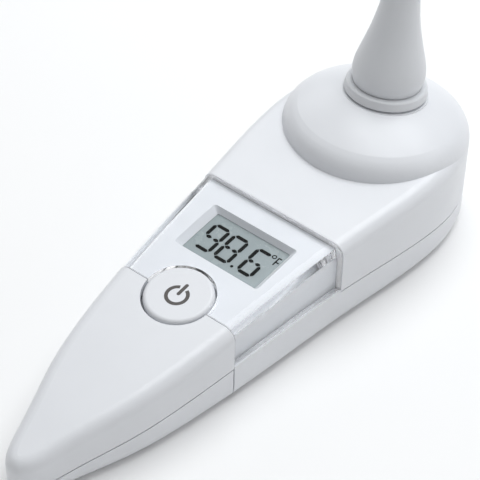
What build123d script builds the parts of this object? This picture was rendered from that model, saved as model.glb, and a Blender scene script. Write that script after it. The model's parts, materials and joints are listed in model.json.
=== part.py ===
from build123d import *
import os
from math import cos, radians, sin, sqrt

# Infra-red ear thermometer. It lies on its flat back: +Z up, +Y from the tapering handle tip to the round
# head, X across. The origin is the centre of the rest face, midway along the body. All sizes are in mm.

# Case
HEAD_R = 21.4               # round end of the head
HEAD_Y = 48.9
END_Y = HEAD_Y + HEAD_R
TIP_Y = -END_Y
WALL = 1.8
HEAD_WALL = 2.2             # of the drum and dome
GAP = 0.12                  # line between two fixed mouldings
DOOR_GAP = 0.35             # line round the battery door
TOP_ROUND = 3.0
BACK_ROUND = 3.4
ROOM = 60.0                 # height of the blocks that the case is cut from

# Side of the plan outline, from where it leaves the round end, at this angle, to the tip
SIDE_START = 32.0
SIDE = [(22.2, HEAD_Y), (21.0, 25.0), (17.0, -11.0), (12.0, -43.0), (4.45, -65.2)]
HALF_WIDTH = 24.0           # more than the case's half width

# Deck and side seam are both long shallow arcs, seen from the side: (y of the crest, its height, radius)
DECK_ARC = (45.0, 24.2, 537.0)
SEAM_ARC = (8.0, 10.3, 470.0)

# Head dome and the probe that stands on it, leaning a little towards the head's end
PROBE_TILT = 7.2
PROBE_FOOT = (0.0, 51.7, 31.7)      # centre of the collar's underside
DOME_CENTRE = (0.0, 46.4, -2.7)
DOME_R = 35.4
DOME_ROUND = 6.3
SEAT_DROP = 0.45                    # the collar stands this far above its flat seat on the dome
SEAT_R = 9.8

# Display lens, from the seam across the deck to its rear edge
LENS_FRONT = -20.1
LENS_REAR = 11.65
LENS_TOP = 1.6                      # thickness on the deck
LENS_SIDE = 2.0                     # thickness down the side walls
LENS_SET_IN = 0.25                  # the lens stands in from the case side by this much
LENS_LIFT = 0.6                     # its lower edge above the side seam
BRIDGE = 1.5                        # wall of the case's saddle under the lens

# Display: opening in the saddle, with sloping sides, and the stack of parts below it
LCD_SIZE = (19.9, 12.1)
BEVEL_SIZE = (23.2, 14.0)
PANEL_SIZE = (24.0, 16.6, 1.9)
BOARD_DEPTH = 8.2                   # top of the main board under the deck
BOARD_T = 1.2

# Buttons
POWER_Y = -19.5
POWER_R = 7.6
POWER_HOLE_R = 8.1
POWER_PROUD = 0.35
SCAN_R = 7.2                        # trigger on the back of the head, under the probe
SCAN_HOLE_R = 7.5
SCAN_RECESS = 0.5
SWITCH = (6.0, 6.0, 3.0)
PLUNGER_R = 1.75

# Coin cell, 20 mm across and 3.2 mm thick, on the slope of the main board
CELL_R = 10.0
CELL_T = 3.2
CELL_V = -36.0
CELL_DEPTH = 10.6

# Fasteners: places of the case screws on the back (x, y) and the top of the post that each one clamps
CASE_SCREWS = [(10.6, -13.2), (-10.6, -13.2), (11.8, 59.0), (-11.8, 59.0)]
SEAT_Z = 5.0                        # height of the screw heads' seat
BOSS_R = 2.3
BOARD_SCREWS = [(0.0, -50.0), (11.0, 30.0), (-11.0, 30.0)]
SEAM_GAP = 0.3
DOOR_WALL = 1.6                     # walls that face each other across the door's end

DISPLAY_Y = -1.0


def arc_height(arc, y, inset=0.0):
    """Height at y of a long side-view arc, drawn in by inset."""
    crest_y, crest_z, radius = arc
    return crest_z - radius + sqrt((radius - inset) ** 2 - (y - crest_y) ** 2)


def deck_plane(y):
    """Plane that touches the deck at y, with its normal pointing out of the case."""
    crest_y, _, radius = DECK_ARC
    slope = (crest_y - y) / radius
    return Plane(origin=(0, y, arc_height(DECK_ARC, y)), x_dir=(1, 0, 0), z_dir=(0, -slope, 1))


# Depths are measured down from the deck plane at the display's centre, and v along it.
DISPLAY = deck_plane(DISPLAY_Y)
DISPLAY_SIDE = Plane(origin=DISPLAY.origin, x_dir=DISPLAY.y_dir, z_dir=(1, 0, 0))
POWER = deck_plane(POWER_Y)
PROBE = Plane(
    origin=PROBE_FOOT, x_dir=(1, 0, 0), z_dir=(0, sin(radians(PROBE_TILT)), cos(radians(PROBE_TILT)))
)
PROBE_SIDE = Plane(origin=PROBE_FOOT, x_dir=(1, 0, 0), z_dir=PROBE.y_dir * -1)
PROBE_AXIS = Axis(PROBE_FOOT, PROBE.z_dir)


def depth(d):
    """Plane parallel to the display, d below the deck."""
    return DISPLAY.offset(-d)


def outline(inset=0.0):
    """Plan outline of the case: a round head end, and sides drawn in to a rounded tip."""
    start = Vector(cos(radians(SIDE_START)), sin(radians(SIDE_START)))
    leaving = Vector(start.Y, -start.X)
    with BuildSketch() as plan:
        with BuildLine():
            corner = Vector(0, HEAD_Y) + start * HEAD_R
            side = Spline(
                (corner.X, corner.Y), *SIDE, (0, TIP_Y), tangents=(leaving, (-1, 0)),
                tangent_scalars=(1, 1), mode=Mode.PRIVATE,
            )
            inner = [corner - start * inset]
            for t in (0.08, 0.18, 0.35, 0.5, 0.65, 0.8, 0.92):
                along = side % t
                inner.append(side @ t + Vector(along.Y, -along.X) * inset)
            inner.append(Vector(0, TIP_Y + inset))
            right = Spline(*inner, tangents=(leaving, (-1, 0)), tangent_scalars=(1, 1))
            left = mirror(right, about=Plane.YZ)
            ThreePointArc(left @ 0, (0, END_Y - inset), right @ 0)
        make_face()
    return plan.sketch


def under_arc(arc, inset=0.0, lift=0.0, floor=-5.0, start=-80.0, end=80.0):
    """Side-view area under a long arc, from floor up, between two values of y."""
    middle = (start + end) / 2
    with BuildSketch(Plane.YZ) as area:
        with BuildLine():
            ThreePointArc(*[(y, arc_height(arc, y, inset) + lift) for y in (start, middle, end)])
            Polyline(
                (end, arc_height(arc, end, inset) + lift), (end, floor), (start, floor),
                (start, arc_height(arc, start, inset) + lift),
            )
        make_face()
    return area.sketch


def slab(arc, **limits):
    """The area under an arc, carried right across the case."""
    with BuildPart() as block:
        extrude(under_arc(arc, **limits), amount=HALF_WIDTH, both=True)
    return block.part


def wand(side, top, floor=0.0, rounded=False):
    """The case without its head dome, drawn in by side and top, standing on z = floor."""
    with BuildPart() as solid:
        extrude(outline(side), amount=ROOM)
        extrude(under_arc(DECK_ARC, inset=top, floor=floor), amount=HALF_WIDTH, both=True,
                mode=Mode.INTERSECT)
        if rounded:
            fillet(solid.faces().sort_by(Axis.Z)[-1].edges(), TOP_ROUND - top)
    return solid.part


def head(inset, floor=0.0, rounded=False):
    """The head: an upright drum whose top is part of a ball."""
    with BuildPart() as drum:
        with BuildSketch(Plane.XY.offset(floor)):
            with Locations((0, HEAD_Y)):
                Circle(HEAD_R - inset)
        extrude(amount=ROOM)
        with Locations(DOME_CENTRE):
            Sphere(DOME_R - inset, mode=Mode.INTERSECT)
        if rounded:
            rim = drum.faces().sort_by(Axis.Z)[-1].edges()
            fillet(rim, DOME_ROUND)
    return drum.part


# Solids shared by the mouldings
with BuildPart() as outer:
    add(wand(0, 0, rounded=True))
    add(head(0, rounded=True))
    fillet(outer.faces().sort_by(Axis.Z)[0].edges(), BACK_ROUND)

with BuildPart() as hollow:
    add(wand(WALL, WALL, floor=WALL))
    add(head(HEAD_WALL, floor=WALL))

def across(start, end, bottom=0.0, top=ROOM):
    """Block right across the case between two values of y."""
    with BuildPart() as block:
        with BuildSketch(Plane.XY.offset(bottom)):
            with Locations((0, (start + end) / 2)):
                Rectangle(2 * HALF_WIDTH, end - start)
        extrude(amount=top - bottom)
    return block.part


LENS_BED = LENS_TOP + GAP               # depth of the saddle's top under the deck
LENS_BED_SIDE = LENS_SIDE + LENS_SET_IN + GAP


def tilted_box(size, place, top, height):
    """Box of size (x, v) at place (x, v) in the display's plane, from depth top downwards."""
    with BuildPart() as block:
        with BuildSketch(depth(top)):
            with Locations(place):
                Rectangle(*size)
        extrude(amount=-height)
    return block.part


def disc(plane, radius, height, places=((0, 0),)):
    """Round bars standing on a plane."""
    with BuildPart() as bars:
        with BuildSketch(plane):
            with Locations(*places):
                Circle(radius)
        extrude(amount=height)
    return bars.part


def upright(places, radius, bottom, top):
    """Vertical round bars between two heights."""
    return disc(Plane.XY.offset(bottom), radius, top - bottom, places)


def strip(plane, points, thick, width):
    """Bent strip of sheet metal or film, centred across the case."""
    with BuildPart() as bent:
        with BuildSketch(plane):
            with BuildLine():
                Polyline(*points)
            trace(line_width=thick)
        extrude(amount=width / 2, both=True)
    return bent.part


def turned(points):
    """Ring or plug turned about the probe's axis from (radius, height) points."""
    with BuildPart() as ring:
        with BuildSketch(PROBE_SIDE):
            with BuildLine():
                Polyline(*points, close=True)
            make_face()
        revolve(axis=PROBE_AXIS)
    return ring.part


# Display lens: clear inverted channel over the deck and down both sides
with BuildPart() as display_lens:
    add(wand(LENS_SET_IN, 0, rounded=True))
    add(across(LENS_FRONT, LENS_REAR), mode=Mode.INTERSECT)
    add(slab(SEAM_ARC, lift=LENS_LIFT), mode=Mode.SUBTRACT)
    add(wand(LENS_SIDE + LENS_SET_IN, LENS_TOP), mode=Mode.SUBTRACT)
    add(disc(POWER.offset(-10), POWER_HOLE_R, 15), mode=Mode.SUBTRACT)

# Front housing: handle deck, saddle under the lens with the display's window, and the head with its dome
with BuildPart() as lens_recess:
    add(across(LENS_FRONT - GAP, LENS_REAR + GAP))
    add(wand(LENS_BED_SIDE, LENS_BED), mode=Mode.SUBTRACT)

with BuildPart() as open_inside:
    add(hollow.part)
    add(across(LENS_FRONT - GAP - WALL, LENS_REAR + GAP + WALL), mode=Mode.SUBTRACT)

with BuildPart() as saddle_inside:
    add(wand(LENS_BED_SIDE + BRIDGE, LENS_BED + BRIDGE))
    add(across(LENS_FRONT - GAP - WALL, LENS_REAR + GAP + WALL), mode=Mode.INTERSECT)

with BuildPart() as window:
    with BuildSketch(depth(LENS_TOP)):
        RectangleRounded(*BEVEL_SIZE, 0.8)
    with BuildSketch(depth(LENS_BED + BRIDGE + 0.1)):
        RectangleRounded(*LCD_SIZE, 0.3)
    loft()

BRACKET_SCREWS = [(9.0, 0.0), (-9.0, 0.0)]      # across the probe's axis
POST_R = 1.9                                    # of the posts that take the small screws
PILOT_R = 0.8
BOSS_Z = SEAT_Z + 1.75                          # lower ends of the case screws' bosses
with BuildPart() as front_bosses:
    add(upright(CASE_SCREWS[:2], BOSS_R, BOSS_Z, 18.5))
    add(upright(CASE_SCREWS[2:], BOSS_R, BOSS_Z, 25.6))
    add(disc(depth(BOARD_DEPTH - 0.05), POST_R, 4.6, BOARD_SCREWS[:1]))
    add(disc(depth(BOARD_DEPTH - 0.05), POST_R, 6.2, BOARD_SCREWS[1:]))
    add(disc(PROBE.offset(-4.95), POST_R, 3.4, BRACKET_SCREWS))
    add(disc(PROBE.offset(-3), SEAT_R, 3 - SEAT_DROP))

with BuildPart() as front_housing:
    add(outer.part)
    add(slab(SEAM_ARC), mode=Mode.SUBTRACT)
    add(lens_recess.part, mode=Mode.SUBTRACT)
    add(open_inside.part, mode=Mode.SUBTRACT)
    add(saddle_inside.part, mode=Mode.SUBTRACT)
    add(front_bosses.part)
    add(window.part, mode=Mode.SUBTRACT)
    add(disc(POWER.offset(-6), POWER_HOLE_R, 12), mode=Mode.SUBTRACT)
    add(disc(PROBE.offset(-SEAT_DROP), SEAT_R, 10), mode=Mode.SUBTRACT)
    add(disc(PROBE.offset(-4), 7.05, 10), mode=Mode.SUBTRACT)
    add(upright(CASE_SCREWS, 1.0, 0, 15), mode=Mode.SUBTRACT)
    add(disc(depth(BOARD_DEPTH + 1), PILOT_R, 4, BOARD_SCREWS), mode=Mode.SUBTRACT)
    add(disc(PROBE.offset(-6), PILOT_R, 3.5, BRACKET_SCREWS), mode=Mode.SUBTRACT)

# Rear housing: tray under the display and head, with screw posts and a bulkhead towards the battery door
SCAN_POSTS = [(9.9, HEAD_Y), (-9.9, HEAD_Y)]
SCAN_BOARD_Z = 10.2
with BuildPart() as rear_limit:
    add(slab(SEAM_ARC, lift=-SEAM_GAP, start=LENS_FRONT))
    add(slab(SEAM_ARC, lift=LENS_LIFT - GAP, start=LENS_FRONT, end=LENS_REAR))
with BuildPart() as bulkhead:
    add(wand(WALL / 2, 2))
    add(slab(SEAM_ARC, lift=-1.0, floor=WALL / 2, start=LENS_FRONT, end=LENS_FRONT + DOOR_WALL),
        mode=Mode.INTERSECT)
with BuildPart() as rear_housing:
    add(outer.part)
    add(rear_limit.part, mode=Mode.INTERSECT)
    add(hollow.part, mode=Mode.SUBTRACT)
    add(bulkhead.part)
    add(upright(CASE_SCREWS, 2.7, WALL / 2, SEAT_Z + 1.6))
    add(upright(SCAN_POSTS, 1.6, WALL / 2, SCAN_BOARD_Z - 0.05))
    add(upright(CASE_SCREWS, 1.95, -1, SEAT_Z), mode=Mode.SUBTRACT)
    add(upright(CASE_SCREWS, 1.1, -1, 8), mode=Mode.SUBTRACT)
    add(upright([(0, HEAD_Y)], SCAN_HOLE_R, -1, 2.5), mode=Mode.SUBTRACT)
    add(upright(SCAN_POSTS, 0.65, 5, 11), mode=Mode.SUBTRACT)
    with Locations((7, LENS_FRONT, 3.6), (-7, LENS_FRONT, 3.6)):
        Box(5.2, 6, 2.0, mode=Mode.SUBTRACT)

# Battery door: the underside of the handle, hooked into the bulkhead by two tongues
DOOR_END = LENS_FRONT - DOOR_GAP
with BuildPart() as door_wall:
    add(wand(WALL / 2, 2))
    add(across(DOOR_END - DOOR_WALL, DOOR_END, WALL / 2, 5.5), mode=Mode.INTERSECT)
with BuildPart() as battery_cover:
    add(outer.part)
    add(slab(SEAM_ARC, lift=-DOOR_GAP, end=DOOR_END), mode=Mode.INTERSECT)
    add(hollow.part, mode=Mode.SUBTRACT)
    add(door_wall.part)
    with Locations((7, DOOR_END + 1, 3.7), (-7, DOOR_END + 1, 3.7)):
        Box(4.4, 4.4, 1.0)
    with Locations(*[(0, -58 + 2.2 * i, 0) for i in range(5)]):
        Box(11, 1.1, 0.8, mode=Mode.SUBTRACT)

# Power button, its tactile switch and the switch's plunger
with BuildPart() as power_button:
    with BuildSketch(POWER.offset(POWER_PROUD)):
        Circle(POWER_R)
    extrude(amount=-(4.2 + POWER_PROUD))
    rims = power_button.edges().filter_by(GeomType.CIRCLE)
    fillet(rims.sort_by(Axis.Z)[-1], 0.9)
    add(disc(POWER.offset(-4.2), 8.5, 0.8))
    add(disc(POWER.offset(-4.2), POWER_R - 1.2, 2.8), mode=Mode.SUBTRACT)
    add(disc(POWER.offset(-4.3), 1.9, 3.2))


def tact_switch(plane):
    """Case of a tactile switch standing on a plane."""
    with BuildPart() as case:
        with BuildSketch(plane):
            RectangleRounded(SWITCH[0], SWITCH[1], 0.5)
        extrude(amount=SWITCH[2])
        add(disc(plane.offset(0.6), PLUNGER_R + 0.1, 5), mode=Mode.SUBTRACT)
    return case.part


POWER_SWITCH_PLANE = depth(BOARD_DEPTH).shift_origin(
    depth(BOARD_DEPTH).from_local_coords(Vector(0, (POWER_Y - DISPLAY_Y) * 1.02, 0)))
with BuildPart() as power_switch:
    add(tact_switch(POWER_SWITCH_PLANE))
with BuildPart() as power_plunger:
    add(disc(POWER_SWITCH_PLANE.offset(1.3), PLUNGER_R, 2.2))

# Scan button under the head, its switch board and screws
with BuildPart() as scan_button:
    add(upright([(0, HEAD_Y)], SCAN_R, SCAN_RECESS, WALL + 0.9))
    fillet(scan_button.faces().sort_by(Axis.Z)[0].edges(), 0.6)
    add(upright([(0, HEAD_Y)], SCAN_R + 0.8, WALL + 0.1, WALL + 0.9))
    add(upright([(0, HEAD_Y)], 1.9, WALL, 6.65))
SCAN_SWITCH_PLANE = Plane(origin=(0, HEAD_Y, SCAN_BOARD_Z), z_dir=(0, 0, -1))
with BuildPart() as scan_switch:
    add(tact_switch(SCAN_SWITCH_PLANE))
with BuildPart() as scan_plunger:
    add(disc(SCAN_SWITCH_PLANE.offset(1.3), PLUNGER_R, 2.2))
with BuildPart() as scan_board:
    with BuildSketch(Plane.XY.offset(SCAN_BOARD_Z)):
        with Locations((0, HEAD_Y)):
            RectangleRounded(23.4, 11, 1.5)
    extrude(amount=1.0)
    add(upright(SCAN_POSTS, 0.8, 9, 12), mode=Mode.SUBTRACT)
with BuildPart() as scan_board_screws:
    add(upright(SCAN_POSTS, 0.6, 6.2, SCAN_BOARD_Z + 1.05))
    add(upright(SCAN_POSTS, 1.4, SCAN_BOARD_Z + 1.05, SCAN_BOARD_Z + 2.0))

# Display stack
PANEL_TOP = LENS_BED + BRIDGE + 0.13
with BuildPart() as lcd_panel:
    add(tilted_box(PANEL_SIZE[:2], (0, 0), PANEL_TOP, PANEL_SIZE[2]))
with BuildPart() as lcd_frame:
    add(tilted_box((26.0, 19.0), (0, 0), PANEL_TOP + 0.1, BOARD_DEPTH - PANEL_TOP - 0.15))
    add(tilted_box((24.3, 16.9), (0, 0), 0, PANEL_TOP + PANEL_SIZE[2] + 0.05), mode=Mode.SUBTRACT)
    add(tilted_box((23.0, 10.0), (0, 0), PANEL_TOP, 4), mode=Mode.SUBTRACT)
    add(tilted_box((23.0, 15.6), (0, 0), PANEL_TOP + PANEL_SIZE[2] + 1, 5), mode=Mode.SUBTRACT)
    for v in (6.6, -6.6):
        add(tilted_box((22.4, 2.1), (0, v), PANEL_TOP, 6), mode=Mode.SUBTRACT)
with BuildPart() as zebra_strips:
    for v in (6.6, -6.6):
        add(tilted_box((22.0, 1.7), (0, v), PANEL_TOP + PANEL_SIZE[2] + 0.02, 2.9))

# Main board and its components
UNDER = BOARD_DEPTH + BOARD_T
with BuildPart() as main_board:
    with BuildSketch(depth(BOARD_DEPTH)):
        with BuildLine():
            Polyline((6.4, -53), (11.4, -21), (14.4, 8), (14.4, 33), (-14.4, 33), (-14.4, 8), (-11.4, -21),
                     (-6.4, -53), close=True)
        make_face()
        fillet(vertices(), 1.5)
    extrude(amount=-BOARD_T)
    add(upright(CASE_SCREWS[:2], BOSS_R + 0.4, 0, 20), mode=Mode.SUBTRACT)
    add(disc(depth(UNDER + 1), 0.95, 4, BOARD_SCREWS), mode=Mode.SUBTRACT)
with BuildPart() as controller_chip:
    add(tilted_box((7, 7), (0, 2), UNDER + 0.15, 1.4))
    for i in range(8):
        add(tilted_box((0.35, 9.4), (-2.8 + 0.8 * i, 2), UNDER + 0.02, 0.5))
        add(tilted_box((9.4, 0.35), (0, -0.8 + 0.8 * i), UNDER + 0.02, 0.5))
with BuildPart() as amplifier_chip:
    add(tilted_box((5, 4), (-6, 14), UNDER + 0.15, 1.4))
    for i in range(4):
        add(tilted_box((0.45, 6), (-7.9 + 1.27 * i, 14), UNDER + 0.02, 0.5))
with BuildPart() as crystal:
    with BuildSketch(depth(UNDER + 0.02)):
        with Locations((9, 1)):
            SlotOverall(7, 2.4, rotation=90)
    extrude(amount=-2.0)
with BuildPart() as capacitors:
    for i in range(4):
        add(tilted_box((0.9, 1.7), (4 + 2.2 * i, 13), UNDER + 0.02, 0.9))
        add(tilted_box((0.9, 1.7), (-10 + 2.2 * i, -8), UNDER + 0.02, 0.9))
with BuildPart() as buzzer:
    with BuildSketch(depth(UNDER + 0.02)):
        with Locations((2, 24)):
            Circle(5)
    extrude(amount=-2.8)
    add(disc(depth(UNDER + 4), 0.8, 2, [(2, 24)]), mode=Mode.SUBTRACT)
with BuildPart() as board_screws:
    add(disc(depth(UNDER + 0.02), 0.75, 4.0, BOARD_SCREWS))
    add(disc(depth(UNDER + 1.02), 1.5, 1.0, BOARD_SCREWS))

# Battery: coin cell in its tray, between two spring contacts
with BuildPart() as coin_cell:
    add(disc(depth(CELL_DEPTH + CELL_T), CELL_R, CELL_T - 0.4, [(0, CELL_V)]))
    add(disc(depth(CELL_DEPTH + 0.4), CELL_R - 1.2, 0.4, [(0, CELL_V)]))
with BuildPart() as battery_tray:
    add(disc(depth(14.3), 11.2, 14.3 - UNDER - 0.05, [(0, CELL_V)]))
    add(disc(depth(15), CELL_R + 0.15, 15 - CELL_DEPTH + 0.1, [(0, CELL_V)]), mode=Mode.SUBTRACT)
    add(disc(depth(15), 7.0, 10, [(0, CELL_V)]), mode=Mode.SUBTRACT)
    add(tilted_box((6, 5), (0, CELL_V + CELL_R + 0.5), 9, 6), mode=Mode.SUBTRACT)
with BuildPart() as contact_negative:
    add(strip(DISPLAY_SIDE, [(CELL_V - 5, -9.65), (CELL_V, -10.4), (CELL_V + 5, -9.65)], 0.25, 3))
with BuildPart() as contact_positive:
    rim = CELL_V + CELL_R + 0.4
    add(strip(DISPLAY_SIDE, [(rim, -9.5), (rim, -14.05), (rim - 4.5, -14.05)], 0.3, 5))

# Probe, from the collar up and from the sensor down
with BuildPart() as probe_collar:
    add(turned([(6.05, -4.5), (7.0, -4.5), (7.0, -0.42), (8.6, -0.42), (8.6, 0), (9.35, 0), (9.5, 0.15),
                (9.45, 0.6), (9.2, 1.9), (8.85, 2.2), (6.05, 2.2)]))
with BuildPart() as probe_cone:
    with BuildSketch(PROBE_SIDE):
        with BuildLine():
            lip = Line((3.0, 27.0), (3.4, 27.0))
            nose = TangentArc(lip @ 1, (4.05, 26.3), tangent=(1, 0))
            Spline(nose @ 1, (4.7, 20.6), (6.3, 13.5), (7.45, 9.6), (8.3, 5.2), (7.75, 2.3))
            Polyline(
                (7.75, 2.3), (5.95, 2.3), (5.95, -4.0), (4.8, -4.0), (4.8, 10.0), (3.0, 24.0), (3.0, 27.0)
            )
        make_face()
    revolve(axis=PROBE_AXIS)
with BuildPart() as probe_window:
    add(disc(PROBE.offset(25.9), 2.95, 0.6))
with BuildPart() as waveguide:
    add(turned([(2.2, -2.0), (2.6, -2.0), (2.6, 25.8), (2.2, 25.8)]))
with BuildPart() as sensor_block:
    add(turned([(2.65, 3.0), (4.7, 3.0), (4.7, -8.0), (2.85, -8.0), (2.85, -2.1), (2.65, -2.1)]))
LEADS = [(0.9, 0.9), (-0.9, 0.9), (-0.9, -0.9), (0.9, -0.9)]
with BuildPart() as thermopile_sensor:
    add(disc(PROBE.offset(-5.3), 2.35, 3.1))
    add(disc(PROBE.offset(-5.8), 2.75, 0.5))
    add(disc(PROBE.offset(-10), 0.22, 4.3, LEADS))
with BuildPart() as sensor_board:
    add(disc(PROBE.offset(-9.5), 6.5, 1.0))
    add(disc(PROBE.offset(-10), 0.3, 2, LEADS), mode=Mode.SUBTRACT)
with BuildPart() as probe_bracket:
    add(disc(PROBE.offset(-6.5), 11.2, 1.5))
    add(disc(PROBE.offset(-7), 4.75, 3), mode=Mode.SUBTRACT)
    add(disc(PROBE.offset(-7), 0.95, 3, BRACKET_SCREWS), mode=Mode.SUBTRACT)
with BuildPart() as bracket_screws:
    add(disc(PROBE.offset(-6.52), 0.75, 3.6, BRACKET_SCREWS))
    add(disc(PROBE.offset(-7.52), 1.5, 1.0, BRACKET_SCREWS))
with BuildPart() as sensor_ribbon:
    add(strip(Plane.YZ, [(47.5, 21.9), (41, 21.4), (36, 18.9), (31.6, 17.9)], 0.3, 6))
with BuildPart() as ribbon_connector:
    add(tilted_box((9, 3.4), (0, 29.6), 6.4, BOARD_DEPTH - 6.42))
    add(strip(Plane.YZ, [(36, 18.9), (31.6, 17.9)], 0.6, 6.4), mode=Mode.SUBTRACT)

# Case screws, driven from the back
with BuildPart() as case_screws:
    add(upright(CASE_SCREWS, 1.8, SEAT_Z - 1.22, SEAT_Z - 0.02))
    add(upright(CASE_SCREWS, 0.95, SEAT_Z - 0.1, 14))
    for x, y in CASE_SCREWS:
        with Locations((x, y, SEAT_Z - 1.22)):
            Box(2.2, 0.5, 1.2, mode=Mode.SUBTRACT)
            Box(0.5, 2.2, 1.2, mode=Mode.SUBTRACT)

PIECES = {
    "front_housing": front_housing, "rear_housing": rear_housing, "battery_cover": battery_cover,
    "display_lens": display_lens, "power_button": power_button, "power_switch": power_switch,
    "power_plunger": power_plunger, "scan_button": scan_button, "scan_switch": scan_switch,
    "scan_plunger": scan_plunger, "scan_board": scan_board, "scan_board_screws": scan_board_screws,
    "lcd_panel": lcd_panel, "lcd_frame": lcd_frame, "zebra_strips": zebra_strips, "main_board": main_board,
    "controller_chip": controller_chip, "amplifier_chip": amplifier_chip, "crystal": crystal,
    "capacitors": capacitors, "buzzer": buzzer, "board_screws": board_screws, "coin_cell": coin_cell,
    "battery_tray": battery_tray, "contact_negative": contact_negative,
    "contact_positive": contact_positive, "probe_collar": probe_collar, "probe_cone": probe_cone,
    "probe_window": probe_window, "waveguide": waveguide, "sensor_block": sensor_block,
    "thermopile_sensor": thermopile_sensor, "sensor_board": sensor_board, "probe_bracket": probe_bracket,
    "bracket_screws": bracket_screws, "sensor_ribbon": sensor_ribbon, "ribbon_connector": ribbon_connector,
    "case_screws": case_screws,
}
os.makedirs("parts", exist_ok=True)
for name, piece in PIECES.items():
    piece.part.label = name
    export_step(piece.part, f"parts/{name}.step")
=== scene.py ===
import json
from math import cos, pi, radians, sin
import bmesh
import bpy
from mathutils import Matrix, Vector


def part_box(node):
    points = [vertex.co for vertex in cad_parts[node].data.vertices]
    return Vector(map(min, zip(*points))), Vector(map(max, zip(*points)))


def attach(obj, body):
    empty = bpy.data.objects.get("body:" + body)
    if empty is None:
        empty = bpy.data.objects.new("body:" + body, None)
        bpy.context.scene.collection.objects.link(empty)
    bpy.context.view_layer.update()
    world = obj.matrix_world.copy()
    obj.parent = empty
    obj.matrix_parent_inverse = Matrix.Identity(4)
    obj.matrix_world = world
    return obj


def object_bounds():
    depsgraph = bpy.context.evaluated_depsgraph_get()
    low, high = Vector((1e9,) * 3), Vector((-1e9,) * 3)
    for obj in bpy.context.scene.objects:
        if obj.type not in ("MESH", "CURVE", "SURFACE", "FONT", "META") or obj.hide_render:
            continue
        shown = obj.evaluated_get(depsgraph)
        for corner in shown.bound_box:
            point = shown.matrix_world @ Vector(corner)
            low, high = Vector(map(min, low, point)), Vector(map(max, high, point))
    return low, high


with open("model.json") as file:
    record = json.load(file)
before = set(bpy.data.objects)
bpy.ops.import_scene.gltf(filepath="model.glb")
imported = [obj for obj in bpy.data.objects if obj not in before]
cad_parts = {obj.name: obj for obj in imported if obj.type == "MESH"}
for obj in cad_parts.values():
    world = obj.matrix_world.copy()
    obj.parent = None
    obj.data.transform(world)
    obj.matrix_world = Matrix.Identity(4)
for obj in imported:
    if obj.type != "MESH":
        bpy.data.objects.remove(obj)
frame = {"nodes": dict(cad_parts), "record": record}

CAD_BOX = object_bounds()
MM = 0.001
WHITE = (1, 1, 1)

# Camera, with its angles in degrees
AZIMUTH = 38.471
ELEVATION = 43.284
ROLL = -1.503
AIM = Vector((0.0006, -0.000195, 0.022573))
DISTANCE = 0.42553
FOCAL_MM = 150
SENSOR_MM = 36
CLIP_START = 0.01

# Display digits, in mm in the display's plane: x to the right and y towards the head, from its
# centre
BAR_Y = (3.45, -0.26, -3.88)            # top, middle and bottom bars of a digit
STROKE = 0.88
JOINT_GAP = 0.12                        # left free by each of the segments that meet at a corner
MIDDLE_GAP = 0.45                       # between the halves of the middle bar
TIP_HALF = 0.03                         # half width left at a segment's points
DIGITS = [                              # left and right strokes' x, and the segments that are lit
    (-8.18, -4.53, "abcdfg"),
    (-2.93, 0.65, "abcdefg"),
    (3.58, 7.02, "acdefg"),
]
POINT = (2.1, -3.95, 0.36)              # x, y and radius
POINT_LENGTH = 0.02                     # of its centre line, between its two round ends
DEGREE = (7.65, 3.68, 0.45, 0.26)       # x, y, radius of the centre line and stroke
UNIT_STROKE = 0.34
UNIT_LINES = [                          # the F
    [(8.72, 4.05), (8.72, 1.65)],
    [(8.72, 3.95), (9.5, 3.95)],
    [(8.72, 2.65), (9.6, 2.65)],
]

# Mark on the power button, in mm from the centre of its flat top
MARK_CENTRE = (0.0, -0.5)
MARK_RADIUS = 2.3
MARK_STROKE = 0.8
MARK_OPENING = 23                       # half angle, in degrees
MARK_BAR = (0.5, 3.25)                  # centres of its two round ends

# Ink of both, in mm
INK_HEIGHT = 0.015                      # of its underside above the face
INK_THICK = 0.01
END_HALF = 0.004                        # half width left at the end of a rounded stroke
END_STEPS = 6                           # in each rounded quarter
ARC_STEPS = 48
DEGREE_STEPS = 24

# Studio
FLOOR_SIZE = 3.0
FLOOR_CELLS = 12
FLOOR_DROP = 0.0001
SKY_LOW = 0.17                          # brightness of the surroundings at the horizon
SKY_HIGH = 0.62                         # and overhead
DAYLIGHT = (0.955, 0.98, 1.0)
LAMPS = [                               # place, size, watts, colour
    ("key", (0.00, 0.26, 0.60), 0.55, 3.0, DAYLIGHT),
    ("left", (-0.65, 0.40, 0.42), 0.45, 0.45, WHITE),
    ("right", (0.75, 0.25, 0.30), 0.45, 0.40, WHITE),
]
GLOSSY_BOUNCES = 12                     # light runs a long way along inside the clear lens


# --- node trees -----------------------------------------------------------------------------------

NOISE_SPAN = (0.3, 0.7)                 # where nearly all of a noise's values are


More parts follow.
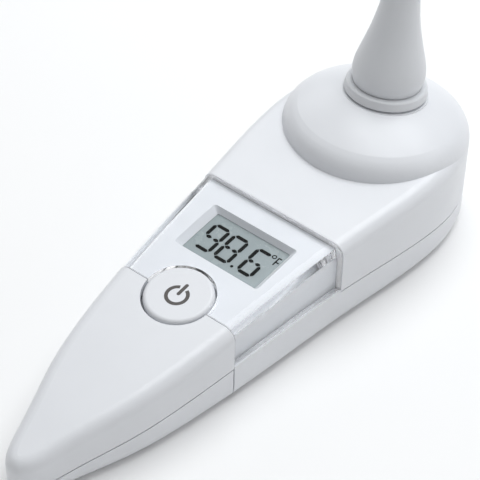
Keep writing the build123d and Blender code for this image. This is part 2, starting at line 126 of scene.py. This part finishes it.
class Surface:
    """A material under construction: one Principled shader and short calls for what feeds it."""

    def __init__(self, name, colour, roughness, metallic=0.0):
        self.material = bpy.data.materials.new(name)
        self.material.use_nodes = True
        self.tree = self.material.node_tree
        self.tree.nodes.clear()
        self.output = self.tree.nodes.new("ShaderNodeOutputMaterial")
        self.shader = self.tree.nodes.new("ShaderNodeBsdfPrincipled")
        self.shader.inputs["Base Color"].default_value = (*colour, 1)
        self.shader.inputs["Roughness"].default_value = roughness
        self.shader.inputs["Metallic"].default_value = metallic
        self.show(self.shader.outputs[0])
        self.colour = colour
        self.roughness = roughness
        self.place = self.tree.nodes.new("ShaderNodeTexCoord").outputs["Object"]

    def node(self, kind, **values):
        """New node with the given properties."""
        made = self.tree.nodes.new(kind)
        for key, value in values.items():
            setattr(made, key, value)
        return made

    def join(self, source, target):
        """Links an output to an input."""
        self.tree.links.new(source, target)

    def show(self, shader):
        """Makes a shader's output the material's look."""
        self.join(shader, self.output.inputs["Surface"])

    def noise(self, grain, detail, stretch=(1, 1, 1)):
        """Noise whose lumps are about grain metres across, and finer along a stretched axis."""
        mapping = self.node("ShaderNodeMapping")
        mapping.inputs["Scale"].default_value = stretch
        self.join(self.place, mapping.inputs["Vector"])
        made = self.node("ShaderNodeTexNoise")
        made.inputs["Scale"].default_value = 1 / grain
        made.inputs["Detail"].default_value = detail
        self.join(mapping.outputs[0], made.inputs["Vector"])
        return made.outputs["Fac"]

    def ranged(self, value, low, high, start=NOISE_SPAN[0], end=NOISE_SPAN[1]):
        """value from start to end, spread from low to high."""
        made = self.node("ShaderNodeMapRange")
        numbers = {"From Min": start, "From Max": end, "To Min": low, "To Max": high}
        for key, number in numbers.items():
            made.inputs[key].default_value = number
        self.join(value, made.inputs["Value"])
        return made.outputs[0]

    def larger(self, first, second):
        """The larger of two values."""
        made = self.node("ShaderNodeMath", operation="MAXIMUM")
        self.join(first, made.inputs[0])
        self.join(second, made.inputs[1])
        return made.outputs[0]

    def mixed(self, factor, first, second):
        """Colour between first and second, each a colour or a socket."""
        made = self.node("ShaderNodeMix", data_type="RGBA")
        self.join(factor, made.inputs[0])
        for socket, colour in ((made.inputs[6], first), (made.inputs[7], second)):
            if isinstance(colour, bpy.types.NodeSocket):
                self.join(colour, socket)
            else:
                socket.default_value = (*colour, 1)
        return made.outputs[2]

    def merged(self, factor, first, second):
        """Shader between two shaders."""
        made = self.node("ShaderNodeMixShader")
        for source, socket in zip((factor, first, second), made.inputs):
            self.join(source, socket)
        return made.outputs[0]

    def paint(self, colour):
        """Feeds the base colour."""
        self.join(colour, self.shader.inputs["Base Color"])

    def tint(self, value, spread):
        """The base colour, lightened and darkened by spread as value goes."""
        dark = [c * (1 - spread) for c in self.colour]
        light = [min(1, c * (1 + spread)) for c in self.colour]
        self.paint(self.mixed(self.ranged(value, 0, 1), dark, light))

    def polish(self, value, spread):
        """Roughness varied by spread as value goes."""
        varied = self.ranged(value, self.roughness - spread, self.roughness + spread)
        self.join(varied, self.shader.inputs["Roughness"])

    def bump(self, height, depth, strength=1.0):
        """Relief of the given depth in metres."""
        made = self.node("ShaderNodeBump")
        made.inputs["Strength"].default_value = strength
        made.inputs["Distance"].default_value = depth
        self.join(height, made.inputs["Height"])
        self.join(made.outputs[0], self.shader.inputs["Normal"])

    def set(self, **values):
        """Constants on the shader's own sockets."""
        for key, value in values.items():
            self.shader.inputs[key.replace("_", " ")].default_value = value


# --- materials ------------------------------------------------------------------------------------

def moulded(name, colour, roughness, spread=0.012, grain=0.35 * MM, relief=0.003 * MM):
    """Injection-moulded plastic: broad cloudiness, uneven polish and the mould's fine grain."""
    s = Surface(name, colour, roughness)
    s.tint(s.noise(14 * MM, detail=3), spread)
    s.polish(s.noise(4 * MM, detail=4), 0.05)
    s.bump(s.noise(grain, detail=3), relief)
    s.set(IOR=1.5)
    return s


def metal(name, colour, roughness, brushed):
    """Metal with a little tarnish and fine scratches, which brushed makes finer along an axis."""
    s = Surface(name, colour, roughness, metallic=1.0)
    s.tint(s.noise(3 * MM, detail=4), 0.06)
    scratches = s.noise(0.4 * MM, detail=4, stretch=brushed)
    s.polish(scratches, 0.08)
    s.bump(scratches, 0.002 * MM)
    return s


# Slot, and what moulded() is told for it
MOULDED = {
    "shell_white": dict(name="white_abs", colour=(0.755, 0.77, 0.80), roughness=0.33),
    "button_white": dict(name="white_key", colour=(0.75, 0.765, 0.795), roughness=0.38,
                         grain=0.25 * MM),
    "probe_white": dict(name="white_probe", colour=(0.70, 0.715, 0.74), roughness=0.36,
                        grain=0.3 * MM),
    "lcd_frame_white": dict(name="white_frame", colour=(0.72, 0.73, 0.74), roughness=0.5),
    "connector_ivory": dict(name="ivory_nylon", colour=(0.72, 0.67, 0.55), roughness=0.45,
                            spread=0.03),
    "switch_black": dict(name="switch_black", colour=(0.03, 0.03, 0.033), roughness=0.5,
                         spread=0.1),
    "switch_plunger": dict(name="switch_plunger", colour=(0.07, 0.07, 0.07), roughness=0.4,
                           spread=0.1),
    "tray_black": dict(name="tray_black", colour=(0.035, 0.035, 0.04), roughness=0.48,
                       spread=0.1, grain=0.5 * MM, relief=0.01 * MM),
    "chip_black": dict(name="chip_epoxy", colour=(0.03, 0.03, 0.032), roughness=0.6,
                       spread=0.15, grain=0.15 * MM, relief=0.006 * MM),
    "capacitor_ceramic": dict(name="fired_ceramic", colour=(0.42, 0.29, 0.17), roughness=0.4,
                              spread=0.12, grain=0.2 * MM),
}

# Slot, and what metal() is told for it
METALS = {
    "screw_steel": ("zinc_plate", (0.56, 0.56, 0.58), 0.34, (1, 1, 4)),
    "crystal_can": ("crystal_can", (0.62, 0.61, 0.58), 0.3, (1, 8, 1)),
    "cell_steel": ("cell_nickel", (0.66, 0.65, 0.63), 0.26, (9, 1, 1)),
    "sensor_can": ("sensor_nickel", (0.66, 0.62, 0.54), 0.28, (1, 1, 8)),
    "spring_steel": ("spring_strip", (0.68, 0.65, 0.56), 0.22, (1, 7, 1)),
    "sensor_aluminium": ("turned_aluminium", (0.68, 0.69, 0.71), 0.33, (1, 1, 12)),
    "gold_tube": ("gold_plate", (0.83, 0.58, 0.22), 0.2, (1, 1, 6)),
}

LENS_TINT = (0.99, 0.995, 1.0)
LENS_INDEX = 1.25                       # low, so that its rounded corners trap no light
LENS_END_SHADE = 0.30 * MM                    # depth of the painted seam shade, a matt grey, at the lens's cut ends
LENS_FRONT_SHADE = (0.50, 0.50, 0.52), 0.85   # colour and share of that painted shade at the handle's end
LENS_REAR_SHADE = (0.86, 0.86, 0.88), 0.6     # and at the head's end


def clear_lens():
    """Polished clear plastic with faint flow ripples, and a matt grey at its two cut ends, partly
    the greyish look of a cut edge and partly painted shade of the seam gaps.

    Light from the lamps and from what is under it goes through unbent, so that the white saddle
    under it is lit.
    """
    s = Surface("clear_lens", LENS_TINT, 0.03)
    s.set(Transmission_Weight=1.0, IOR=LENS_INDEX, Specular_IOR_Level=0.1)
    s.polish(s.noise(9 * MM, detail=2), 0.012)
    s.bump(s.noise(7 * MM, detail=1), 0.004 * MM, 0.5)

    path = s.node("ShaderNodeLightPath")
    unbent = s.larger(path.outputs["Is Shadow Ray"], path.outputs["Is Diffuse Ray"])
    through = s.node("ShaderNodeBsdfTransparent")
    through.inputs["Color"].default_value = (*LENS_TINT, 1)
    clear = s.merged(unbent, s.shader.outputs[0], through.outputs[0])

    low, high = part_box("display_lens")
    split = s.node("ShaderNodeSeparateXYZ")
    s.join(s.place, split.inputs[0])
    y = split.outputs["Y"]
    # Painted seam shade: matt grey mixed in towards each end of the lens, strongest at the very end
    # and fading inward, darker at the handle's end.
    matt_end_shade = s.node("ShaderNodeBsdfDiffuse")
    along = s.ranged(y, 0, 1, start=low.y, end=high.y)
    s.join(s.mixed(along, LENS_FRONT_SHADE[0], LENS_REAR_SHADE[0]), matt_end_shade.inputs["Color"])
    front_shade = s.ranged(y, LENS_FRONT_SHADE[1], 0, start=low.y, end=low.y + LENS_END_SHADE)
    rear_shade = s.ranged(y, 0, LENS_REAR_SHADE[1], start=high.y - LENS_END_SHADE, end=high.y)
    s.show(s.merged(s.larger(front_shade, rear_shade), clear, matt_end_shade.outputs[0]))
    return s


def lcd_glass():
    """Reflective display: silver-grey with a green cast, over a fine frosted reflector."""
    s = Surface("lcd_glass", (0.30, 0.35, 0.345), 0.25)
    cast = s.ranged(s.noise(11 * MM, detail=1), 0, 1, start=0, end=1)
    speck = s.ranged(s.noise(0.12 * MM, detail=2), 0, 1)
    clouds = s.mixed(cast, (0.262, 0.306, 0.322), (0.298, 0.348, 0.345))
    s.paint(s.mixed(speck, clouds, (0.295, 0.34, 0.345)))
    s.polish(s.noise(3 * MM, detail=3), 0.05)
    s.bump(s.noise(0.2 * MM, detail=2), 0.001 * MM)
    return s


def circuit_board():
    """Green solder mask over copper tracks and a woven glass core."""
    s = Surface("solder_mask", (0.02, 0.16, 0.06), 0.32)
    tracks = s.node("ShaderNodeTexBrick", offset=0.37)
    numbers = {"Scale": 400, "Mortar Size": 0.03, "Brick Width": 1.3, "Row Height": 0.32}
    for key, number in numbers.items():
        tracks.inputs[key].default_value = number
    s.join(s.place, tracks.inputs["Vector"])
    weave = s.noise(0.4 * MM, detail=2, stretch=(1, 3, 1))
    mask = s.mixed(s.ranged(weave, 0, 1), (0.016, 0.13, 0.05), (0.024, 0.18, 0.07))
    s.paint(s.mixed(tracks.outputs["Fac"], mask, (0.06, 0.32, 0.12)))
    s.polish(s.noise(2 * MM, detail=3), 0.06)
    s.bump(tracks.outputs["Fac"], 0.03 * MM, 0.6)
    return s


def ir_window():
    """Dark infra-red filter glass with a faint coating sheen."""
    s = Surface("ir_filter", (0.03, 0.03, 0.036), 0.12)
    s.tint(s.noise(2 * MM, detail=2), 0.25)
    s.polish(s.noise(1 * MM, detail=3), 0.04)
    s.bump(s.noise(0.5 * MM, detail=2), 0.001 * MM)
    s.set(Coat_Weight=0.6, Coat_Roughness=0.05)
    return s


def add_stripes(s, scale, dark, light, relief):
    """Gives a surface stripes across x, in two colours and in relief."""
    stripes = s.node("ShaderNodeTexWave", bands_direction="X")
    stripes.inputs["Scale"].default_value = scale
    s.join(s.place, stripes.inputs["Vector"])
    s.paint(s.mixed(stripes.outputs["Fac"], dark, light))
    s.bump(stripes.outputs["Fac"], relief)


def zebra_rubber():
    """Layers of black and pale silicone, about 0.2 mm each."""
    s = Surface("zebra_rubber", (0.3, 0.26, 0.25), 0.7)
    add_stripes(s, 800, (0.06, 0.05, 0.05), (0.45, 0.36, 0.32), 0.01 * MM)
    s.polish(s.noise(1 * MM, detail=2), 0.06)
    return s


def ribbon_film():
    """Amber film with copper conductors running along it, about 1 mm apart."""
    s = Surface("amber_film", (0.5, 0.22, 0.04), 0.28)
    add_stripes(s, 320, (0.36, 0.13, 0.02), (0.62, 0.30, 0.08), 0.02 * MM)
    s.polish(s.noise(2 * MM, detail=3), 0.06)
    return s


def lcd_ink():
    """The display's dark segments, with no shine of their own."""
    s = Surface("lcd_segments", (0.003, 0.0035, 0.0035), 0.5)
    s.set(Specular_IOR_Level=0.0)
    s.tint(s.noise(1.5 * MM, detail=2), 0.3)
    s.polish(s.noise(0.5 * MM, detail=2), 0.05)
    s.bump(s.noise(0.1 * MM, detail=2), 0.001 * MM)
    return s


def mark_ink():
    """Pad-printed warm grey ink, slightly uneven."""
    s = Surface("printed_ink", (0.075, 0.068, 0.064), 0.5)
    s.tint(s.noise(0.6 * MM, detail=3), 0.12)
    s.polish(s.noise(0.4 * MM, detail=2), 0.08)
    s.bump(s.noise(0.12 * MM, detail=3), 0.004 * MM)
    return s


def dress_nodes():
    """Gives every CAD node the material of its slot."""
    surfaces = {slot: moulded(**look) for slot, look in MOULDED.items()}
    surfaces.update({slot: metal(*look) for slot, look in METALS.items()})
    for make in (clear_lens, lcd_glass, circuit_board, ir_window, zebra_rubber, ribbon_film):
        surfaces[make.__name__] = make()
    for part in frame["record"]["subparts"]:
        mesh = frame["nodes"][part["node"]].data
        for i in range(len(mesh.materials)):
            mesh.materials[i] = surfaces[part["material_slot"]].material


# --- digits and mark ------------------------------------------------------------------------------

class Face:
    """The largest flat face of a node that looks up: its centre, and axes across, along and out."""

    UP = 0.7                            # least z of the normal of a face that looks up
    DECIMALS = 2                        # to which the normals of one flat face agree
    STEP = 0.3 * MM                     # in height, between two parallel faces

    def __init__(self, node):
        mesh = frame["nodes"][node].data
        groups = {}
        for polygon in mesh.polygons:
            if polygon.normal.z > self.UP:
                normal = (round(c, self.DECIMALS) for c in polygon.normal)
                level = round(polygon.center.dot(polygon.normal) / self.STEP)
                groups.setdefault((*normal, level), []).append(polygon)
        flat = max(groups.values(), key=lambda group: sum(p.area for p in group))
        self.out = sum((p.normal * p.area for p in flat), Vector()).normalized()
        self.across = Vector((1, 0, 0))
        self.along = self.out.cross(self.across)
        corners = [mesh.vertices[i].co for p in flat for i in p.vertices]
        self.centre = self.out * (sum(c.dot(self.out) for c in corners) / len(corners))
        for axis in (self.across, self.along):
            reach = [c.dot(axis) for c in corners]
            self.centre += axis * (min(reach) + max(reach)) / 2

    def at(self, x, y, height):
        """Point on or above the face, from mm."""
        return self.centre + (self.across * x + self.along * y + self.out * height) * MM


# A stroke is the points of its centre line, and the half width at each of them.

def pointed(start, end, stroke):
    """Display segment: a stroke that is pointed at both ends."""
    start, end = Vector(start), Vector(end)
    tip = (end - start).normalized() * stroke / 2
    return [start, start + tip, end - tip, end], [TIP_HALF, stroke / 2, stroke / 2, TIP_HALF]


def blunt(points, stroke):
    """A stroke of one width from end to end."""
    return [Vector(p) for p in points], [stroke / 2] * len(points)


def rounded(points, stroke):
    """A stroke that ends in half circles."""
    line, widths = blunt(points, stroke)
    first, last = line[0], line[-1]
    before, after = (first - line[1]).normalized(), (last - line[-2]).normalized()
    for i in range(1, END_STEPS + 1):
        turn = pi / 2 * i / END_STEPS
        reach, width = stroke / 2 * sin(turn), max(stroke / 2 * cos(turn), END_HALF)
        line.insert(0, first + before * reach)
        line.append(last + after * reach)
        widths.insert(0, width)
        widths.append(width)
    return line, widths


def arc(centre, radius, start, end, steps):
    """Points along an arc between two angles in degrees, 0 along +x."""
    angles = [radians(start + (end - start) * i / steps) for i in range(steps + 1)]
    return [(centre[0] + radius * cos(a), centre[1] + radius * sin(a)) for a in angles]


def lay_stroke(bm, face, line, widths):
    """Adds one flat stroke, a thin closed band, just above the face."""
    rings = []
    for i, (point, half) in enumerate(zip(line, widths)):
        ahead = line[min(i + 1, len(line) - 1)] - line[max(i - 1, 0)]
        side = Vector((-ahead.y, ahead.x)).normalized() * half
        corners = [(point + side, 0), (point - side, 0), (point - side, 1), (point + side, 1)]
        rings.append([
            bm.verts.new(face.at(p.x, p.y, INK_HEIGHT + INK_THICK * top)) for p, top in corners
        ])
    for before, after in zip(rings, rings[1:]):
        for i in range(4):
            j = (i + 1) % 4
            bm.faces.new((before[i], before[j], after[j], after[i]))
    bm.faces.new(rings[0][::-1])
    bm.faces.new(rings[-1])


def add_object(name, bm):
    """New object in the scene, from a mesh in the making."""
    mesh = bpy.data.meshes.new(name)
    bm.to_mesh(mesh)
    bm.free()
    made = bpy.data.objects.new(name, mesh)
    bpy.context.scene.collection.objects.link(made)
    return made


def ink_piece(name, face, strokes, surface, body):
    """One piece made of flat strokes on a face of the CAD model."""
    bm = bmesh.new()
    for line, widths in strokes:
        lay_stroke(bm, face, line, widths)
    bmesh.ops.recalc_face_normals(bm, faces=bm.faces)
    piece = add_object(name, bm)
    piece.data.materials.append(surface.material)
    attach(piece, body)


def digit(left, right, lit):
    """Lit segments of one digit, named a to g clockwise from the top with g in the middle."""
    top, middle, bottom = BAR_Y
    gap = JOINT_GAP
    half = (right - left - MIDDLE_GAP) / 2
    lines = {
        "a": [((left + gap, top), (right - gap, top))],
        "b": [((right, top - gap), (right, middle + gap))],
        "c": [((right, middle - gap), (right, bottom + gap))],
        "d": [((left + gap, bottom), (right - gap, bottom))],
        "e": [((left, middle - gap), (left, bottom + gap))],
        "f": [((left, top - gap), (left, middle + gap))],
        "g": [((left + gap, middle), (left + half, middle)),
              ((right - half, middle), (right - gap, middle))],
    }
    return [pointed(start, end, STROKE) for name in lit for start, end in lines[name]]


def make_digits():
    """The reading on the display, and the sign of its unit."""
    face = Face("lcd_panel")
    ink = lcd_ink()
    strokes = [stroke for left, right, lit in DIGITS for stroke in digit(left, right, lit)]
    x, y, radius = POINT
    ends = [(x - POINT_LENGTH / 2, y), (x + POINT_LENGTH / 2, y)]
    strokes.append(rounded(ends, 2 * radius))
    ink_piece("display_digits", face, strokes, ink, "case")
    x, y, radius, stroke = DEGREE
    unit = [blunt(arc((x, y), radius, 0, 360, DEGREE_STEPS), stroke)]
    unit += [blunt(line, UNIT_STROKE) for line in UNIT_LINES]
    ink_piece("display_unit", face, unit, ink, "case")


def make_mark():
    """Open ring with an upright bar, the usual sign for power."""
    face = Face("power_button")
    x, y = MARK_CENTRE
    start, end = 90 + MARK_OPENING, 450 - MARK_OPENING
    open_ring = arc(MARK_CENTRE, MARK_RADIUS, start, end, ARC_STEPS)
    bar = [(x, y + reach) for reach in MARK_BAR]
    strokes = [blunt(open_ring, MARK_STROKE), rounded(bar, MARK_STROKE)]
    ink_piece("power_mark", face, strokes, mark_ink(), "power_key")


# --- studio ---------------------------------------------------------------------------------------

def make_floor():
    """Plain pale table top with a hint of grain."""
    bm = bmesh.new()
    bmesh.ops.create_grid(bm, x_segments=FLOOR_CELLS, y_segments=FLOOR_CELLS, size=FLOOR_SIZE / 2)
    floor = add_object("floor", bm)
    floor.location.z = CAD_BOX[0].z - FLOOR_DROP
    s = Surface("pale_table", (0.92, 0.92, 0.92), 0.7)
    s.tint(s.noise(0.2, detail=2), 0.004)
    s.polish(s.noise(0.05, detail=3), 0.04)
    s.bump(s.noise(0.6 * MM, detail=2), 0.004 * MM)
    floor.data.materials.append(s.material)


def make_sky():
    """Soft surroundings, brighter overhead."""
    world = bpy.data.worlds.new("studio")
    bpy.context.scene.world = world
    world.use_nodes = True
    tree = world.node_tree
    background = tree.nodes["Background"]
    background.inputs["Color"].default_value = (*WHITE, 1)
    place = tree.nodes.new("ShaderNodeTexCoord")
    split = tree.nodes.new("ShaderNodeSeparateXYZ")
    height = tree.nodes.new("ShaderNodeMapRange")
    numbers = {"From Min": 0.0, "From Max": 1.0, "To Min": SKY_LOW, "To Max": SKY_HIGH}
    for key, number in numbers.items():
        height.inputs[key].default_value = number
    tree.links.new(place.outputs["Generated"], split.inputs[0])
    tree.links.new(split.outputs["Z"], height.inputs["Value"])
    tree.links.new(height.outputs[0], background.inputs["Strength"])


def make_lamps():
    """Round soft lamps that face the object."""
    for name, place, size, watts, colour in LAMPS:
        light = bpy.data.lights.new(name, "AREA")
        light.shape = "DISK"
        light.size = size
        light.energy = watts
        light.color = colour
        lamp = bpy.data.objects.new(name, light)
        lamp.location = place
        lamp.rotation_euler = (AIM - Vector(place)).to_track_quat("-Z", "Y").to_euler()
        bpy.context.scene.collection.objects.link(lamp)


def make_camera():
    """The photograph's camera: turned and lifted round its aim, then rolled."""
    turn, lift, roll = radians(AZIMUTH), radians(ELEVATION), radians(ROLL)
    back = Vector((sin(turn) * cos(lift), -cos(turn) * cos(lift), sin(lift)))
    right = Vector((0, 0, 1)).cross(back).normalized()
    up = back.cross(right)
    rolled_right = right * cos(roll) - up * sin(roll)
    rolled_up = right * sin(roll) + up * cos(roll)
    data = bpy.data.cameras.new("camera")
    data.lens = FOCAL_MM
    data.sensor_width = SENSOR_MM
    data.clip_start = CLIP_START
    camera = bpy.data.objects.new("camera", data)
    matrix = camera.matrix_world.copy()
    for column, axis in enumerate((rolled_right, rolled_up, back, AIM + back * DISTANCE)):
        for row in range(3):
            matrix[row][column] = axis[row]
    camera.matrix_world = matrix
    bpy.context.scene.collection.objects.link(camera)
    bpy.context.scene.camera = camera


dress_nodes()
make_digits()
make_mark()
make_floor()
make_sky()
make_lamps()
make_camera()
bpy.context.scene.view_settings.view_transform = "Standard"
bpy.context.scene.cycles.glossy_bounces = GLOSSY_BOUNCES
